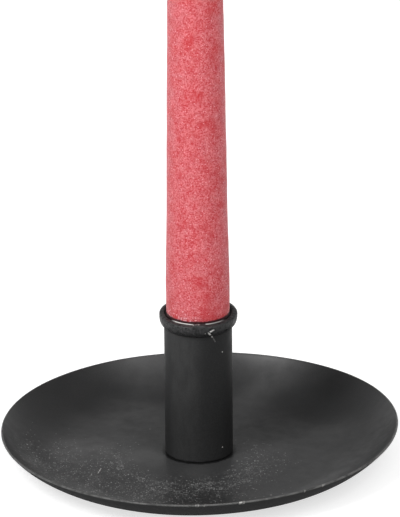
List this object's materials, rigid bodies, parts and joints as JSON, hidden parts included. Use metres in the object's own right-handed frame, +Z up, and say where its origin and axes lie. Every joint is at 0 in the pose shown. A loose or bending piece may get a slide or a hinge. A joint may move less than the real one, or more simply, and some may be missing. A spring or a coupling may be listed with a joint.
{
  "type": "candlestick",
  "caption": "Low chamber candlestick: a round black steel drip dish, a tube socket with a ring round its mouth, and a tapered red dinner candle that lifts out.",
  "frame": {"origin": "middle of the dish, in the plane where its foot ring meets the table", "axes": "+Z up along the socket and the candle, +X to the right and +Y away from the viewer in the picture"},
  "size_m": [0.141, 0.141, 0.2192],
  "materials": {
    "black_paint": "satin black paint on steel, rubbed along the edges",
    "plain_steel": "turned steel, dull",
    "zinc_steel": "zinc plated, semi bright",
    "red_wax": "frosted candle wax, mottled",
    "cotton_wick": "waxed cotton braid"
  },
  "bodies": {
    "holder": {"drip_dish": "black_paint", "socket_tube": "black_paint", "mouth_ring": "black_paint", "socket_plug": "plain_steel", "fixing_screw": "zinc_steel", "lock_washer": "zinc_steel"},
    "candle": {"candle_wax": "red_wax", "candle_wick": "cotton_wick"}
  },
  "joints": [
    {"name": "candle_lift", "type": "slide", "parent": "holder", "child": "candle", "axis": [0, 0, 1], "range_m": [0, 0.06]}
  ]
}
